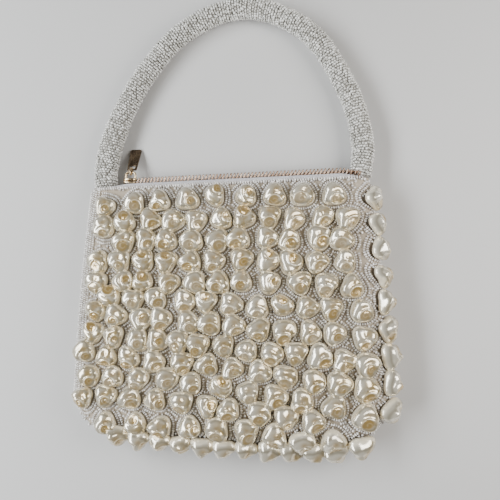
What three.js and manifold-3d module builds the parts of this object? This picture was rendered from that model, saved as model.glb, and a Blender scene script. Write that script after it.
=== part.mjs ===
// A soft top-handle bag lying on its back. Its front is covered in pearl-finish nuggets sewn to beaded
// cloth, a zip closes its mouth and a stuffed tube makes its handle. Millimetres: X across the bag, Y from
// its bottom to its handle, Z up from the surface it lies on. Until the last lines Y is measured from near
// the foot of the front.
import * as THREE from "three";
import { mergeVertices } from "three/addons/utils/BufferGeometryUtils.js";
import Module from "manifold-3d";

// Driving dimensions of the two cloth panels, which meet at a seam all round
const GAP = 0.3;
const BAG = {
  middle: -2.4,
  topHalf: 99.5,
  bottomHalf: 108.8,
  mouthY: 167,
  bottomY: -5,
  bow: 3,
  corner: 33,
  flare: 2,
  leftLean: 3.2,
};
const CLOTH = { wall: 2, seamZ: 8.8 };
const FRONT = { rise: 10.5, sideIn: 12, crown: 5 };
const BACK = { rise: CLOTH.seamZ - GAP / 2, sideIn: 10, crown: 0 };
const CROWN_REACH = { x: 105, y: 95, middle: 72 };
const FAN_CENTRE_Y = 82;
const OUTLINE_STEPS = { bottom: 6, corner: 4, side: 4, overMouth: 3 };
const OVER_MOUTH = { rise: 30, flat: 0.4 };

// How far in the rings of each wall lie: as parts of its turned-up side, then as shares of the way to
// the middle
const FRONT_RINGS = { outer: [0.05, 0.2, 0.5, 1.03], inner: [0, 0.1, 0.4, 1.03], shares: [0.35, 0.7] };
const BACK_RINGS = { outer: [0.1, 0.4, 1.03], inner: [0, 0.15, 0.5, 1.03], shares: [0.5] };

// Nuggets: mean radius, sides, lean of the crown, how irregular they are, and how they share the room
const NUGGET = { radius: 7, sides: 8, lean: 1.1, stretch: -0.03, corner: 0.09, turn: 0.9 };
const NUGGET_SCATTER = { x: 1.6, y: 1.6 };
const SETTLE = { rounds: 20, spacing: 14.2, step: 0.25 };

// The levels of a nugget, from the point of its foot sunk in the cloth to its top
const NUGGET_LEVELS = [
  { height: -1.5, scale: 0, lean: 0 },
  { height: 1.2, scale: 1, lean: 0 },
  { height: 6.8, scale: 0.72, lean: 0.6 },
  { height: 9.4, scale: 0, lean: 1 },
];

// Rows of nuggets on the front, from the mouth down: Y at the left and right end, how far the middle
// bows up, first and last X, and how many
const NUGGET_ROWS = [
  { left: 154.8, right: 155, bow: 1.6, first: -83, last: 73, count: 9 },
  { left: 139.5, right: 139, bow: 1.8, first: -84, last: 81, count: 11 },
  { left: 126, right: 126.5, bow: 1, first: -71, last: 78.5, count: 10 },
  { left: 115.5, right: 112, bow: -0.7, first: -88, last: 78.5, count: 11 },
  { left: 102.5, right: 96, bow: 1, first: -90, last: 83, count: 11 },
  { left: 92, right: 80, bow: -1, first: -75, last: 87, count: 11 },
  { left: 82.4, right: 64, bow: -2, first: -91, last: 89, count: 12 },
  { left: 65, right: 46.4, bow: 2.4, first: -91, last: 92, count: 13 },
  { left: 54, right: 30.6, bow: 3, first: -97, last: 91, count: 12 },
  { left: 39.5, right: 16, bow: 3.9, first: -94, last: 88, count: 11 },
  { left: 24, right: 10.4, bow: 4.7, first: -99, last: 56.5, count: 10 },
  { left: 6, right: 0.7, bow: 1.4, first: -81, last: 70, count: 9 },
];

// Nuggets down the right side and along the bottom, sewn just in from the seam; the bottom ones are
// tucked farther in towards the left corner
const FLANK_INSET = 1.8;
const RIGHT_FLANK = { first: 153, last: 17.6, count: 9 };
const BOTTOM_FLANK = { first: -74, last: 85, count: 12, tuck: 4.8, fade: 3 };

// The handle's centre line and section, from the left foot over the crown to the right foot
const HANDLE_STATIONS = [
  { x: -89, y: 167.5, z: 10, wide: 17.5, deep: 15 },
  { x: -89.5, y: 185, z: 9.2, wide: 18, deep: 15.5 },
  { x: -82, y: 213, z: 8.4, wide: 17.5, deep: 16 },
  { x: -63.5, y: 248, z: 8.2, wide: 16, deep: 16 },
  { x: -31.5, y: 281.5, z: 8.2, wide: 15.5, deep: 16 },
  { x: 12, y: 295.5, z: 8.2, wide: 15.5, deep: 16 },
  { x: 55.5, y: 276.5, z: 8.2, wide: 15.5, deep: 16 },
  { x: 82, y: 236, z: 8.3, wide: 15.5, deep: 16 },
  { x: 93.5, y: 194, z: 9.2, wide: 16, deep: 15.5 },
  { x: 91.5, y: 167.5, z: 10, wide: 15.5, deep: 15 },
];
const HANDLE = { sides: 12, steps: 27 };

// The zip: its tapes rise from the two edges of the mouth to a ridge, and its chain runs along the ridge
const RIDGE_RISE = 4.2;
const RIDGE_Y = BAG.mouthY + RIDGE_RISE;
const MOUTH_TOP = CLOTH.seamZ + GAP / 2 + FRONT.rise;
const ZIP_Z = MOUTH_TOP / 2;
const TAPE = { first: -79.7, last: 83.2, inset: 0.6, slit: 2.4, thick: 2 };
const CHAIN = { first: -65.7, last: 83, foot: 0.4, root: 1.8, tip: 3.5, wide: 4.4, pitch: 2.5 };
const SLIDER = { first: -76, last: -66, wide: 7.6, neck: 5.4, shoulder: 2, foot: 0.4, top: 4 };
const BRIDGE = { first: -74.4, last: -67.2, seat: 3.4, out: 8.8, bend: 1.8 };
const BRIDGE_WIRE = { radius: 0.8, sides: 6, steps: 12 };

// The pull: a ring round the bridge, and a slotted tab that hangs on the ring and droops to the surface
const PULL = { x: -70.6, droop: 26 };
const RING = { middle: 1, half: 1.8, stretch: 1.66, wire: 0.55, sides: 6, steps: 12 };
const TAB = { shift: 0.3, first: 1.75, last: 21, neck: 7.2, wide: 8.6, thick: 1.1, round: 1.6, steps: 4 };
const SLOT = { first: 2.85, last: 5.6, half: 2.2 };

// Points nearer than this are one, and a slope is measured over this step to each side
const WELD = 1e-4;
const SLOPE_STEP = 0.5;

const X_AXIS = new THREE.Vector3(1, 0, 0);
const Y_AXIS = new THREE.Vector3(0, 1, 0);
const Z_AXIS = new THREE.Vector3(0, 0, 1);
const { lerp, clamp, degToRad } = THREE.MathUtils;
const wasm = await Module();
wasm.setup();

// Repeatable scatter between -1 and 1 for a numbered nugget
function scatter(index, salt) {
  const wave = Math.sin(index * 12.9898 + salt * 78.233) * 43758.5453;
  return 2 * (wave - Math.floor(wave)) - 1;
}

function solidOf(geometry) {
  const bare = new THREE.BufferGeometry();
  bare.setAttribute("position", geometry.getAttribute("position"));
  bare.setIndex(geometry.index);
  const merged = mergeVertices(bare, WELD);
  const vertProperties = merged.getAttribute("position").array;
  const triVerts = new Uint32Array(merged.index.array);
  return new wasm.Manifold(new wasm.Mesh({ numProp: 3, vertProperties, triVerts }));
}

function geometryOf(solid) {
  const { vertProperties, triVerts } = solid.getMesh();
  const geometry = new THREE.BufferGeometry();
  geometry.setAttribute("position", new THREE.BufferAttribute(vertProperties, 3));
  geometry.setIndex(new THREE.BufferAttribute(triVerts, 1));
  return geometry;
}

// A closed surface through rings of equally many points, each end closed by a fan round a centre point
function skin(rings, firstCentre, lastCentre) {
  const count = rings[0].length;
  const points = [...rings.flat(), firstCentre, lastCentre];
  const firstFan = points.length - 2;
  const lastFan = points.length - 1;
  const lastRing = (rings.length - 1) * count;
  const index = [];
  for (let i = 0; i < count; i += 1) {
    const next = (i + 1) % count;
    index.push(firstFan, next, i, lastFan, lastRing + i, lastRing + next);
    for (let low = 0; low < lastRing; low += count) {
      const high = low + count;
      index.push(low + i, low + next, high + next, low + i, high + next, high + i);
    }
  }
  const geometry = new THREE.BufferGeometry().setFromPoints(points);
  geometry.setIndex(index);
  return geometry;
}

function middleOf(ring) {
  const sum = ring.reduce((total, point) => total.add(point), new THREE.Vector3());
  return sum.divideScalar(ring.length);
}

// How far up the cloth Y lies, from 0 at its bottom to 1 at its mouth
function upCloth(y) {
  return clamp((y - BAG.bottomY) / (BAG.mouthY - BAG.bottomY), 0, 1);
}

// Half the cloth's width at Y, as if its sides ran straight on past the corners
function sideHalf(y) {
  return lerp(BAG.bottomHalf, BAG.topHalf, upCloth(y) ** BAG.flare);
}

// Half the cloth's width at Y, with its round corners
function seamHalf(y) {
  const below = Math.max(0, BAG.bottomY + BAG.corner - y);
  return sideHalf(y) - BAG.corner + Math.sqrt(BAG.corner ** 2 - below ** 2);
}

// The bottom seam at X, which bows down in the middle and turns up round the corners
function bottomSeam(x) {
  const out = Math.abs(x - BAG.middle);
  const bow = BAG.bow * (1 - (out / BAG.bottomHalf) ** 2);
  const past = Math.max(0, out - (BAG.bottomHalf - BAG.corner));
  return BAG.bottomY - bow + BAG.corner - Math.sqrt(BAG.corner ** 2 - past ** 2);
}

// The right side's point over on the left side, which leans in a little more towards the mouth
function onLeft(point) {
  return new THREE.Vector2(2 * BAG.middle - point.x + BAG.leftLean * upCloth(point.y), point.y);
}

// The seam, counter-clockwise, carried on past the mouth so that the walls can be cut off there
function seamOutline() {
  const steps = OUTLINE_STEPS;
  const flat = BAG.bottomHalf - BAG.corner;
  const right = [];
  for (let i = 0; i < steps.corner; i += 1) {
    const x = BAG.middle + flat + BAG.corner * Math.sin((Math.PI / 2) * (i / steps.corner));
    right.push(new THREE.Vector2(x, bottomSeam(x)));
  }
  for (let i = 0; i <= steps.side; i += 1) {
    const y = lerp(BAG.bottomY + BAG.corner, BAG.mouthY, i / steps.side);
    right.push(new THREE.Vector2(BAG.middle + sideHalf(y), y));
  }
  for (let i = 1; i <= steps.overMouth; i += 1) {
    const turn = (Math.PI / 2) * (i / (steps.overMouth + 1));
    const x = BAG.middle + BAG.topHalf * lerp(OVER_MOUTH.flat, 1, Math.cos(turn));
    right.push(new THREE.Vector2(x, BAG.mouthY + OVER_MOUTH.rise * Math.sin(turn)));
  }
  const left = right.map(onLeft).reverse();
  const bottom = [];
  for (let i = 1; i < steps.bottom; i += 1) {
    const x = BAG.middle + lerp(-flat, flat, i / steps.bottom);
    bottom.push(new THREE.Vector2(x, bottomSeam(x)));
  }
  return [...bottom, ...right, ...left];
}

const SEAM = seamOutline();

// How far a point lies from the seam
function insideSeam(x, y) {
  const distances = SEAM.map((start, i) => {
    const along = SEAM[(i + 1) % SEAM.length].clone().sub(start);
    const part = clamp(((x - start.x) * along.x + (y - start.y) * along.y) / along.lengthSq(), 0, 1);
    return Math.hypot(x - start.x - part * along.x, y - start.y - part * along.y);
  });
  return Math.min(...distances);
}

// Height of a panel over the seam: it turns up in a quarter ellipse and then crowns gently
function domeHeight(form, x, y, inset) {
  const part = clamp((insideSeam(x, y) - inset) / (form.sideIn - inset), 0, 1);
  const acrossX = Math.max(0, 1 - ((x - BAG.middle) / CROWN_REACH.x) ** 2);
  const acrossY = Math.max(0, 1 - ((y - CROWN_REACH.middle) / CROWN_REACH.y) ** 2);
  const rise = form.rise - inset + form.crown * acrossX * acrossY;
  return rise * Math.sqrt(1 - (1 - part) ** 2);
}

// The seam moved inwards along its own normals
function insetSeam(distance) {
  return SEAM.map((point, i) => {
    const before = SEAM[(i + SEAM.length - 1) % SEAM.length];
    const after = SEAM[(i + 1) % SEAM.length];
    const along = after.clone().sub(before).normalize();
    return new THREE.Vector2(point.x - along.y * distance, point.y + along.x * distance);
  });
}

// The full form inside one skin of a panel, standing up (1) or down (-1) from the seam, with a skirt
function domeSolid(form, inset, up, parts, shares, skirt) {
  const place = (point, height) => new THREE.Vector3(point.x, point.y, up * height);
  const raised = (point) => place(point, domeHeight(form, point.x, point.y, inset));
  const centre = new THREE.Vector2(BAG.middle, FAN_CENTRE_Y);
  const rings = [insetSeam(inset).map((point) => place(point, -skirt))];
  for (const part of parts) {
    rings.push(insetSeam(inset + part * (form.sideIn - inset)).map(raised));
  }
  for (const share of shares) {
    rings.push(insetSeam(form.sideIn).map((point) => raised(point.lerp(centre, share))));
  }
  const turned = up > 0 ? rings : rings.map((ring) => ring.reverse());
  return solidOf(skin(turned, place(centre, -skirt), raised(centre)));
}

// A panel's wall: its outer form less its inner one, cut open at the mouth
function clothWall(form, up, rings) {
  const outer = domeSolid(form, 0, up, rings.outer, rings.shares, 0);
  const inner = domeSolid(form, CLOTH.wall, up, rings.inner, rings.shares, CLOTH.wall);
  const size = 4 * BAG.bottomHalf;
  const beyond = new THREE.BoxGeometry(size, size, size).translate(0, BAG.mouthY + size / 2, 0);
  return outer.subtract(inner).subtract(solidOf(beyond));
}

// Crowded nuggets moved apart, a little at a time
function settled(places) {
  for (let round = 0; round < SETTLE.rounds; round += 1) {
    for (let i = 0; i < places.length; i += 1) {
      for (let j = i + 1; j < places.length; j += 1) {
        const apart = places[j].clone().sub(places[i]);
        const short = Math.max(0, SETTLE.spacing - apart.length());
        apart.setLength(SETTLE.step * short);
        places[i].sub(apart);
        places[j].add(apart);
      }
    }
  }
  return places;
}

// A parabola from 0 to 0 that is as high as its bow half way along
function bowed(bow, share) {
  return 4 * bow * share * (1 - share);
}

// Every place where a nugget is sewn on
function nuggetPlaces() {
  const rows = [];
  for (const row of NUGGET_ROWS) {
    for (let i = 0; i < row.count; i += 1) {
      const share = i / (row.count - 1);
      const x = lerp(row.first, row.last, share);
      const y = lerp(row.left, row.right, share) + bowed(row.bow, share);
      const moveX = NUGGET_SCATTER.x * scatter(rows.length, 1);
      const moveY = NUGGET_SCATTER.y * scatter(rows.length, 2);
      rows.push(new THREE.Vector2(x + moveX, y + moveY));
    }
  }
  const places = settled(rows);
  for (let i = 0; i < RIGHT_FLANK.count; i += 1) {
    const y = lerp(RIGHT_FLANK.first, RIGHT_FLANK.last, i / (RIGHT_FLANK.count - 1));
    places.push(new THREE.Vector2(BAG.middle + seamHalf(y) - FLANK_INSET, y));
  }
  for (let i = 0; i < BOTTOM_FLANK.count; i += 1) {
    const share = i / (BOTTOM_FLANK.count - 1);
    const x = lerp(BOTTOM_FLANK.first, BOTTOM_FLANK.last, share);
    const tuck = BOTTOM_FLANK.tuck * (1 - share) ** BOTTOM_FLANK.fade;
    places.push(new THREE.Vector2(x, bottomSeam(x) + FLANK_INSET + tuck));
  }
  return places;
}

function frontPoint(x, y) {
  return new THREE.Vector3(x, y, CLOTH.seamZ + GAP / 2 + domeHeight(FRONT, x, y, 0));
}

function frontNormal(x, y) {
  const acrossX = frontPoint(x + SLOPE_STEP, y).sub(frontPoint(x - SLOPE_STEP, y));
  const acrossY = frontPoint(x, y + SLOPE_STEP).sub(frontPoint(x, y - SLOPE_STEP));
  return acrossX.cross(acrossY).normalize();
}

// One nugget: an irregular three-cornered pebble whose crown leans to one side
function nuggetSolid(place, index) {
  const foot = frontPoint(place.x, place.y);
  const out = frontNormal(place.x, place.y);
  const turn = NUGGET.turn * scatter(index, 3);
  const along = new THREE.Vector3(Math.cos(turn), Math.sin(turn), 0);
  along.addScaledVector(out, -along.dot(out)).normalize();
  const across = new THREE.Vector3().crossVectors(out, along);
  const phase = Math.PI * scatter(index, 4);
  const point = (level, angle) => {
    const wave = 1 + NUGGET.stretch * Math.cos(2 * angle) + NUGGET.corner * Math.cos(3 * angle + phase);
    const reach = NUGGET.radius * level.scale * wave;
    const at = foot.clone().addScaledVector(out, level.height);
    at.addScaledVector(along, reach * Math.cos(angle) - NUGGET.lean * level.lean);
    return at.addScaledVector(across, reach * Math.sin(angle));
  };
  const angles = Array.from({ length: NUGGET.sides }, (_, i) => (2 * Math.PI * i) / NUGGET.sides);
  const rings = NUGGET_LEVELS.slice(1, -1).map((level) => angles.map((angle) => point(level, angle)));
  return solidOf(skin(rings, point(NUGGET_LEVELS[0], 0), point(NUGGET_LEVELS.at(-1), 0)));
}

// The front cloth with every nugget fused to it
function frontPanel() {
  const nuggets = nuggetPlaces().map(nuggetSolid);
  const cloth = geometryOf(clothWall(FRONT, 1, FRONT_RINGS)).translate(0, 0, CLOTH.seamZ + GAP / 2);
  return geometryOf(nuggets.reduce((panel, nugget) => panel.add(nugget), solidOf(cloth)));
}

function backPanel() {
  return geometryOf(clothWall(BACK, -1, BACK_RINGS)).translate(0, 0, BACK.rise);
}

// A stuffed tube through the stations, with square-cut feet
function handleTube() {
  const centres = HANDLE_STATIONS.map(({ x, y, z }) => new THREE.Vector3(x, y, z));
  const sections = HANDLE_STATIONS.map(({ wide, deep }) => new THREE.Vector2(wide, deep));
  const line = new THREE.CatmullRomCurve3(centres);
  const sizes = new THREE.SplineCurve(sections);
  const rings = [];
  for (let step = 0; step <= HANDLE.steps; step += 1) {
    const share = step / HANDLE.steps;
    const atFoot = step === 0 || step === HANDLE.steps;
    const along = atFoot ? Y_AXIS.clone().multiplyScalar(1 - 2 * share) : line.getTangent(share);
    const side = along.clone().cross(Z_AXIS).normalize();
    const up = side.clone().cross(along);
    const size = sizes.getPoint(share);
    const ring = [];
    for (let i = 0; i < HANDLE.sides; i += 1) {
      const angle = (-2 * Math.PI * i) / HANDLE.sides;
      const point = line.getPoint(share).addScaledVector(side, (size.x / 2) * Math.cos(angle));
      ring.push(point.addScaledVector(up, (size.y / 2) * Math.sin(angle)));
    }
    rings.push(ring);
  }
  return skin(rings, middleOf(rings[0]), middleOf(rings.at(-1)));
}

// A tape from the front (1) or back (-1) edge of the mouth up to its slit beside the chain
function zipTape(side) {
  const edge = ZIP_Z - TAPE.inset;
  const start = BAG.mouthY + GAP;
  const outline = new THREE.Shape([
    new THREE.Vector2(start, side * edge),
    new THREE.Vector2(start, side * (edge - TAPE.thick)),
    new THREE.Vector2(RIDGE_Y, side * TAPE.slit),
    new THREE.Vector2(RIDGE_Y, side * (TAPE.slit + TAPE.thick / 2)),
  ]);
  const length = TAPE.last - TAPE.first;
  const tape = new THREE.ExtrudeGeometry(outline, { depth: length, bevelEnabled: false });
  tape.applyMatrix4(new THREE.Matrix4().makeBasis(Y_AXIS, Z_AXIS, X_AXIS));
  return tape.translate(TAPE.first, 0, ZIP_Z);
}

// The closed teeth: a bar along the ridge with a point for each tooth
function zipChain() {
  const teeth = Math.floor((CHAIN.last - CHAIN.first) / CHAIN.pitch);
  const last = CHAIN.first + teeth * CHAIN.pitch;
  const outline = new THREE.Shape();
  outline.moveTo(CHAIN.first, CHAIN.foot);
  outline.lineTo(last, CHAIN.foot);
  outline.lineTo(last, CHAIN.root);
  for (let tooth = 0; tooth < teeth; tooth += 1) {
    const x = last - tooth * CHAIN.pitch;
    outline.lineTo(x - CHAIN.pitch / 2, CHAIN.tip);
    outline.lineTo(x - CHAIN.pitch, CHAIN.root);
  }
  const chain = new THREE.ExtrudeGeometry(outline, { depth: CHAIN.wide, bevelEnabled: false });
  return chain.translate(0, RIDGE_Y, ZIP_Z - CHAIN.wide / 2);
}

// A slider body that narrows at both ends, with a bent wire for its bridge
function zipSlider() {
  const { first, last, shoulder } = SLIDER;
  const half = SLIDER.wide / 2;
  const neck = SLIDER.neck / 2;
  const plan = new THREE.Shape([
    new THREE.Vector2(first, -neck),
    new THREE.Vector2(first + shoulder, -half),
    new THREE.Vector2(last - shoulder, -half),
    new THREE.Vector2(last, -neck),
    new THREE.Vector2(last, neck),
    new THREE.Vector2(last - shoulder, half),
    new THREE.Vector2(first + shoulder, half),
    new THREE.Vector2(first, neck),
  ]);
  const height = SLIDER.top - SLIDER.foot;
  const body = new THREE.ExtrudeGeometry(plan, { depth: height, bevelEnabled: false });
  body.rotateX(-Math.PI / 2).translate(0, SLIDER.foot, 0);
  const { out, bend } = BRIDGE;
  const path = new THREE.CatmullRomCurve3([
    new THREE.Vector3(BRIDGE.first, BRIDGE.seat, 0),
    new THREE.Vector3(BRIDGE.first, out - bend, 0),
    new THREE.Vector3(BRIDGE.first + bend, out, 0),
    new THREE.Vector3(BRIDGE.last - bend, out, 0),
    new THREE.Vector3(BRIDGE.last, out - bend, 0),
    new THREE.Vector3(BRIDGE.last, BRIDGE.seat, 0),
  ]);
  const { radius, sides, steps } = BRIDGE_WIRE;
  const section = new THREE.Shape(new THREE.EllipseCurve(0, 0, radius, radius).getPoints(sides));
  const wire = new THREE.ExtrudeGeometry(section, { steps, extrudePath: path });
  return geometryOf(solidOf(body).add(solidOf(wire))).translate(0, RIDGE_Y, ZIP_Z);
}

// An oval ring that stands across the bridge's wire, which is the pull's axis
function pullLink() {
  const ring = new THREE.TorusGeometry(RING.half, RING.wire, RING.sides, RING.steps);
  return ring.rotateY(Math.PI / 2).scale(1, RING.stretch, 1).translate(0, RING.middle, 0);
}

// A flat tab that widens to a round-cornered end, with a slot for the ring
function pullTab() {
  const neck = TAB.neck / 2;
  const half = TAB.wide / 2;
  const plan = new THREE.Shape();
  plan.moveTo(-neck, TAB.first);
  plan.lineTo(neck, TAB.first);
  plan.lineTo(half, TAB.last - TAB.round);
  plan.quadraticCurveTo(half, TAB.last, half - TAB.round, TAB.last);
  plan.lineTo(TAB.round - half, TAB.last);
  plan.quadraticCurveTo(-half, TAB.last, -half, TAB.last - TAB.round);
  const slot = new THREE.Path();
  slot.moveTo(-SLOT.half, SLOT.first);
  slot.lineTo(-SLOT.half, SLOT.last);
  slot.lineTo(SLOT.half, SLOT.last);
  slot.lineTo(SLOT.half, SLOT.first);
  plan.holes.push(slot);
  const sizes = { depth: TAB.thick, bevelEnabled: false, curveSegments: TAB.steps };
  const tab = new THREE.ExtrudeGeometry(plan, sizes);
  return tab.translate(TAB.shift, 0, -TAB.thick / 2);
}

const finish = {
  pearl: { color: 0xe6d9bf, roughness: 0.25, metalness: 0 },
  ivoryCloth: { color: 0xcdbfab, roughness: 0.9, metalness: 0 },
  whiteBeads: { color: 0xe8e5de, roughness: 0.35, metalness: 0 },
  lilacTape: { color: 0xdad5dd, roughness: 0.85, metalness: 0 },
  roseGold: { color: 0xc79a7c, roughness: 0.3, metalness: 1 },
  paleGold: { color: 0xc9b48c, roughness: 0.3, metalness: 1 },
};

function piece(name, geometry, look) {
  const mesh = new THREE.Mesh(geometry, new THREE.MeshStandardMaterial(look));
  mesh.name = name;
  return mesh;
}

const pull = new THREE.Group();
pull.position.set(PULL.x, RIDGE_Y + BRIDGE.out, ZIP_Z);
pull.rotation.x = -degToRad(PULL.droop);
pull.add(piece("pull_link", pullLink(), finish.paleGold));
pull.add(piece("pull_tab", pullTab(), finish.paleGold));

const bag = new THREE.Group();
bag.add(piece("front_panel", frontPanel(), finish.pearl));
bag.add(piece("back_panel", backPanel(), finish.ivoryCloth));
bag.add(piece("handle", handleTube(), finish.whiteBeads));
bag.add(piece("zip_tape_front", zipTape(1), finish.lilacTape));
bag.add(piece("zip_tape_back", zipTape(-1), finish.lilacTape));
bag.add(piece("zip_chain", zipChain(), finish.roseGold));
bag.add(piece("zip_slider", zipSlider(), finish.paleGold));
bag.add(pull);

// The origin is the middle of the box's underside
const middle = new THREE.Box3().setFromObject(bag, true).getCenter(new THREE.Vector3());
bag.position.set(-middle.x, -middle.y, 0);

const part = new THREE.Group();
part.add(bag);

export default part;
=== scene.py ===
"""A soft top-handle bag lying on its back.

Pearl nuggets and seed beads cover its front. It has a beaded tube handle and a zip across its mouth.
"""

import math

import bmesh
import bpy
import numpy as np
from mathutils import Matrix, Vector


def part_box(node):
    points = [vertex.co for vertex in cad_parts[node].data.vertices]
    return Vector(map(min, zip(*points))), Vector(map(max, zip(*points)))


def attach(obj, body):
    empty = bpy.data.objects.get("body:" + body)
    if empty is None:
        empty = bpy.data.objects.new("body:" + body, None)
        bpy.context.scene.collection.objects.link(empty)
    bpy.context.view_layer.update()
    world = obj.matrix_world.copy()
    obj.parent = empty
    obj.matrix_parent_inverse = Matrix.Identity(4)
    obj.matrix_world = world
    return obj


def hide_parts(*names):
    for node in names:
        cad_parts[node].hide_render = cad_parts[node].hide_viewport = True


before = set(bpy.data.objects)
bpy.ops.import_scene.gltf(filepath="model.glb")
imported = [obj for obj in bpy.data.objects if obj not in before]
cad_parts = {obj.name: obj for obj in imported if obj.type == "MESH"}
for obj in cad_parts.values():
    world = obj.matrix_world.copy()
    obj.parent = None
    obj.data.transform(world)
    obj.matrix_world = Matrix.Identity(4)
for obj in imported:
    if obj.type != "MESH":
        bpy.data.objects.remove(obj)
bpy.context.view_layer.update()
RANDOM_SEED = 11
rng = np.random.default_rng(RANDOM_SEED)

MM = 0.001
TO_MM = 1000
QUARTER = math.pi / 2
FULL_TURN = 2 * math.pi
UPWARD = [0, 0, 1.0]

# The bag's form in millimetres, measured as in the solids: Y from near the foot of the front
MIDDLE = -2.4
TOP_HALF = 99.5
BOTTOM_HALF = 108.8
MOUTH_Y = 167.0
BOTTOM_Y = -5.0
BOW = 3.0
CORNER = 33.0
FLARE = 2.0
LEFT_LEAN = 3.2
FRONT = {"rise": 10.5, "side_in": 12.0, "crown": 5.0}
BACK = {"rise": 8.65, "side_in": 10.0, "crown": 0.0}
FRONT_Z = 8.95
CROWN_X = 105.0
CROWN_Y = 95.0
CROWN_MIDDLE = 72.0

# Rows of nuggets: Y at the left and right end, bow, first and last X, count
NUGGET_ROWS = [
    (154.8, 155.0, 1.6, -83.0, 73.0, 9),
    (139.5, 139.0, 1.8, -84.0, 81.0, 11),
    (126.0, 126.5, 1.0, -71.0, 78.5, 10),
    (115.5, 112.0, -0.7, -88.0, 78.5, 11),
    (102.5, 96.0, 1.0, -90.0, 83.0, 11),
    (92.0, 80.0, -1.0, -75.0, 87.0, 11),
    (82.4, 64.0, -2.0, -91.0, 89.0, 12),
    (65.0, 46.4, 2.4, -91.0, 92.0, 13),
    (54.0, 30.6, 3.0, -97.0, 91.0, 12),
    (39.5, 16.0, 3.9, -94.0, 88.0, 11),
    (24.0, 10.4, 4.7, -99.0, 56.5, 10),
    (6.0, 0.7, 1.4, -81.0, 70.0, 9),
]
UPPER_ROWS = 7

# Nuggets round the right side and the bottom: first and last place, count
RIGHT_FLANK = (153.0, 17.6, 9)
BOTTOM_FLANK = (-74.0, 85.0, 12)
FLANK_INSET = 1.8
BOTTOM_TUCK = 4.8

# The handle's centre line and section: x, y, z, width, depth
HANDLE = np.array([
    (-89.0, 167.5, 10.0, 17.5, 15.0),
    (-89.5, 185.0, 9.2, 18.0, 15.5),
    (-82.0, 213.0, 8.4, 17.5, 16.0),
    (-63.5, 248.0, 8.2, 16.0, 16.0),
    (-31.5, 281.5, 8.2, 15.5, 16.0),
    (12.0, 295.5, 8.2, 15.5, 16.0),
    (55.5, 276.5, 8.2, 15.5, 16.0),
    (82.0, 236.0, 8.3, 15.5, 16.0),
    (93.5, 194.0, 9.2, 16.0, 15.5),
    (91.5, 167.5, 10.0, 15.5, 15.0),
])

# What varies from nugget to nugget: a number that sets it apart, its middle and how far it varies
VARIES = {
    "x": (1, 0, 1.6),
    "y": (2, 0, 1.6),
    "turn": (3, 0, 0.9),
    "corner": (4, 0, math.pi),
    "size": (5, 1, 0.06),
    "dish_turn": (6, -1.25, 0.5),
    "dish_tilt": (7, 0.7, 0.16),
    "dish_size": (8, 0.58, 0.1),
    "long": (9, -0.03, 0.06),
    "pointed": (10, 0.09, 0.035),
    "side_pointed": (10, 0.15, 0.035),
    "wound": (12, 0, 1),
    # Strength of the golden-brown painted shade in each nugget's dish
    "gold_shade": (14, 0.68, 0.27),
    "tone": (15, 0.5, 0.3),
    "string": (16, 0, 0.4),
    "odd": (17, 0, 1),
    "odd_turn": (18, 1.6, 1.2),
    "swell_tilt": (20, 0, 0.25),
    "swell_turn": (30, 0, 0.7),
    "swell_height": (40, 1, 0.4),
    "beak_tilt": (50, 0.42, 0.2),
    "beak_turn": (51, 0, math.pi),
}


def placed(points):
    """Points of the bag's form as metres in the part's own frame."""
    return (np.asarray(points, float) + SHIFT) * MM


def lerp(a, b, share):
    return a + (b - a) * share


def unit(vectors):
    return vectors / np.maximum(np.linalg.norm(vectors, axis=-1, keepdims=True), 1e-12)


def flattened(vectors, normals):
    """The part of each vector that is square to its normal."""
    return vectors - (vectors * normals).sum(1, keepdims=True) * normals


def bell(offset, width):
    return np.exp(-((offset / width) ** 2))


def run_length(points):
    """Distance along a line of points from its start to each of them."""
    return np.concatenate([[0], np.cumsum(np.linalg.norm(np.diff(points, axis=0), axis=1))])


def columns(*values):
    return np.column_stack(values)


def read_off(at, marks, table):
    """Each column of a table, read off at places between its marks."""
    return np.column_stack([np.interp(at, marks, column) for column in table.T])


def varied(index, what, more=0, step=12.9898, apart=78.233, spread=43758.5453):
    """A repeatable value for one property of a numbered nugget."""
    salt, middle, by = VARIES[what]
    wave = math.sin(index * step + (salt + more) * apart) * spread
    return middle + by * (2 * (wave - math.floor(wave)) - 1)


# Form of the cloth


def up_cloth(y):
    """How far up the cloth Y lies, from 0 at its bottom to 1 at its mouth."""
    return np.clip((np.asarray(y, float) - BOTTOM_Y) / (MOUTH_Y - BOTTOM_Y), 0, 1)


def side_half(y):
    return lerp(BOTTOM_HALF, TOP_HALF, up_cloth(y) ** FLARE)


def seam_half(y):
    below = np.maximum(0, BOTTOM_Y + CORNER - np.asarray(y, float))
    return side_half(y) - CORNER + np.sqrt(np.maximum(0, CORNER**2 - below**2))


def left_seam(y):
    """X of the seam on the left, which leans in toward the mouth."""
    return MIDDLE - seam_half(y) + LEFT_LEAN * up_cloth(y)


def bottom_seam(x):
    out = np.abs(np.asarray(x, float) - MIDDLE)
    past = np.maximum(0, out - (BOTTOM_HALF - CORNER))
    lift = CORNER - np.sqrt(np.maximum(0, CORNER**2 - past**2))
    return BOTTOM_Y - BOW * (1 - (out / BOTTOM_HALF) ** 2) + lift


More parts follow.
